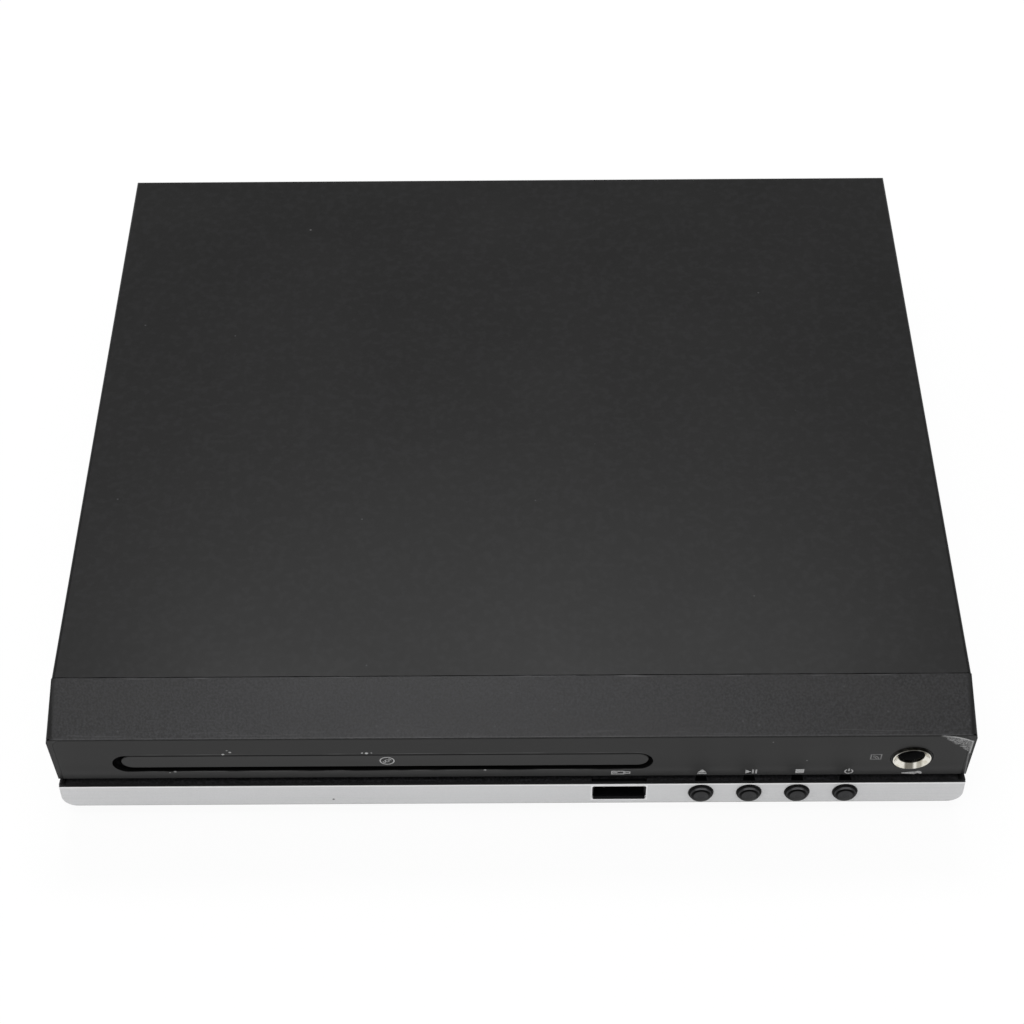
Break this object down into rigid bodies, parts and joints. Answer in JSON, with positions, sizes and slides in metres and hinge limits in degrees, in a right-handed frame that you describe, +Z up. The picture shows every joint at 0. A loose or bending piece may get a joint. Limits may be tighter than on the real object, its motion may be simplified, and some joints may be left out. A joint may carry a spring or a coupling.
{
  "type": "compact disc player",
  "caption": "Low black disc player with a steel cover, sloping front, pill-shaped tray door, round keys on a silver strip, microphone and memory sockets, and a working tray loader inside.",
  "frame": {"origin": "on the table under the middle of the player, halfway between the key caps and the ends of the rear barrels", "axes": "+X to the right seen from the front, +Y to the back, +Z up"},
  "size_m": [0.225, 0.2128, 0.04],
  "materials": {
    "cover_paint": "fine matt powder coat",
    "plated_steel": "satin zinc plate",
    "textured_plastic": "fine spark texture",
    "panel_plastic": "smooth satin gloss",
    "silver_paint": "silver paint on plastic",
    "button_plastic": "satin moulded",
    "tray_plastic": "satin moulded",
    "frame_plastic": "moulded",
    "gear_plastic": "natural acetal",
    "clamper_plastic": "moulded",
    "black_rubber": "matt",
    "bright_screw": "zinc plated",
    "ground_steel": "ground and polished",
    "motor_steel": "drawn can",
    "turntable_plastic": "moulded",
    "pickup_metal": "die cast",
    "lens_glass": "clear",
    "nickel_plate": "nickel plated",
    "socket_plastic": "moulded",
    "sensor_plastic": "smoked epoxy",
    "insert_plastic": "coloured nylon",
    "pin_brass": "nickelled brass",
    "board_laminate": "lacquered glass laminate",
    "chip_epoxy": "moulded epoxy",
    "ribbon_film": "white film",
    "winding_tape": "yellow tape on ferrite",
    "sleeve_film": "shrunk sleeve",
    "sink_aluminium": "extruded"
  },
  "bodies": {
    "root": {"base_pan": "plated_steel", "chassis_screws": "bright_screw", "clamper_bridge": "plated_steel", "cover_screws": "bright_screw", "decoder_chip": "chip_epoxy", "drive_belt": "black_rubber", "face_panel": "panel_plastic", "filter_capacitors": "sleeve_film", "front_bezel": "textured_plastic", "front_board": "board_laminate", "front_ribbon": "ribbon_film", "hdmi_shell": "nickel_plate", "hdmi_tongue": "socket_plastic", "heat_sink": "sink_aluminium", "inlet_pins": "pin_brass", "ir_sensor": "sensor_plastic", "key_switches": "socket_plastic", "loader_frame": "frame_plastic", "loading_motor": "motor_steel", "main_board": "board_laminate", "mic_jack_body": "socket_plastic", "mic_jack_ring": "nickel_plate", "power_board": "board_laminate", "power_inlet": "socket_plastic", "rca_block": "socket_plastic", "rca_inserts": "insert_plastic", "rca_shells": "nickel_plate", "ribbon_sockets": "ribbon_film", "rubber_feet": "black_rubber", "top_cover": "cover_paint", "transformer": "winding_tape", "trim_strip": "silver_paint", "usb_shell": "nickel_plate", "usb_tongue": "socket_plastic"},
    "tray": {"disc_tray": "tray_plastic", "tray_door": "panel_plastic"},
    "drive_gear_body": {"drive_gear": "gear_plastic"},
    "pulley_gear_body": {"pulley_gear": "gear_plastic"},
    "motor_pulley_body": {"motor_pulley": "gear_plastic"},
    "lift_deck": {"lift_frame": "frame_plastic", "traverse_plate": "plated_steel", "damper_grommets": "black_rubber", "damper_screws": "bright_screw", "spindle_motor": "motor_steel", "guide_rods": "ground_steel", "sled_motor": "motor_steel"},
    "turntable_body": {"turntable": "turntable_plastic", "turntable_mat": "black_rubber"},
    "pickup": {"pickup_body": "pickup_metal", "objective_lens": "lens_glass", "pickup_rack": "gear_plastic"},
    "sled_gear_body": {"sled_gear": "gear_plastic"},
    "sled_pinion_body": {"sled_pinion": "gear_plastic"},
    "cam_slider_body": {"cam_slider": "gear_plastic"},
    "clamper_body": {"clamper": "clamper_plastic", "clamp_magnet": "motor_steel"},
    "eject_key": {"eject_button": "button_plastic"},
    "play_key": {"play_button": "button_plastic"},
    "stop_key": {"stop_button": "button_plastic"},
    "power_key": {"power_button": "button_plastic"}
  },
  "joints": [
    {"name": "tray_slide", "type": "slide", "parent": "root", "child": "tray", "axis": [0, -1, 0], "range_m": [0, 0.131]},
    {"name": "drive_gear_spin", "type": "hinge", "parent": "root", "child": "drive_gear_body", "pos_m": [-0.0746, -0.08195, 0.0171], "axis": [0, 0, 1], "continuous": true},
    {"name": "pulley_gear_spin", "type": "hinge", "parent": "root", "child": "pulley_gear_body", "pos_m": [-0.0554, -0.08195, 0.0171], "axis": [0, 0, 1], "continuous": true},
    {"name": "motor_pulley_spin", "type": "hinge", "parent": "root", "child": "motor_pulley_body", "pos_m": [-0.024, -0.08195, 0.0171], "axis": [0, 0, 1], "continuous": true},
    {"name": "deck_swing", "type": "hinge", "parent": "root", "child": "lift_deck", "pos_m": [-0.0316, 0.05005, 0.013], "axis": [-1, 0, 0], "range_deg": [0, 3]},
    {"name": "cam_slide", "type": "slide", "parent": "root", "child": "cam_slider_body", "axis": [1, 0, 0], "range_m": [0, 0.016]},
    {"name": "turntable_spin", "type": "hinge", "parent": "lift_deck", "child": "turntable_body", "pos_m": [-0.0316, -0.0349, 0.01556], "axis": [0, -0.0523, 0.9986], "continuous": true},
    {"name": "clamper_spin", "type": "hinge", "parent": "root", "child": "clamper_body", "pos_m": [-0.0316, -0.03465, 0.0241], "axis": [0, 0, 1], "continuous": true},
    {"name": "pickup_slide", "type": "slide", "parent": "lift_deck", "child": "pickup", "axis": [0, 0.9986, 0.0523], "range_m": [0, 0.034]},
    {"name": "sled_gear_spin", "type": "hinge", "parent": "lift_deck", "child": "sled_gear_body", "pos_m": [-0.0061, 0.00485, 0.01564], "axis": [0, -0.0523, 0.9986], "continuous": true},
    {"name": "sled_pinion_spin", "type": "hinge", "parent": "lift_deck", "child": "sled_pinion_body", "pos_m": [0.0029, 0.00485, 0.01564], "axis": [0, -0.0523, 0.9986], "continuous": true},
    {"name": "eject_press", "type": "slide", "parent": "root", "child": "eject_key", "axis": [0, 1, 0], "range_m": [0, 0.0005], "stiffness_N_per_m": 1000},
    {"name": "play_press", "type": "slide", "parent": "root", "child": "play_key", "axis": [0, 1, 0], "range_m": [0, 0.0005], "stiffness_N_per_m": 1000},
    {"name": "stop_press", "type": "slide", "parent": "root", "child": "stop_key", "axis": [0, 1, 0], "range_m": [0, 0.0005], "stiffness_N_per_m": 1000},
    {"name": "power_press", "type": "slide", "parent": "root", "child": "power_key", "axis": [0, 1, 0], "range_m": [0, 0.0005], "stiffness_N_per_m": 1000}
  ],
  "couplings": [
    {"joint": "drive_gear_spin", "follows": "tray_slide", "rad_per_m": 111.11},
    {"joint": "pulley_gear_spin", "follows": "tray_slide", "rad_per_m": -333.33},
    {"joint": "motor_pulley_spin", "follows": "tray_slide", "rad_per_m": -894.74},
    {"joint": "cam_slide", "follows": "deck_swing", "m_per_rad": 0.30558},
    {"joint": "clamper_spin", "follows": "turntable_spin", "ratio": 1},
    {"joint": "sled_gear_spin", "follows": "pickup_slide", "rad_per_m": -166.67},
    {"joint": "sled_pinion_spin", "follows": "pickup_slide", "rad_per_m": 333.33}
  ]
}
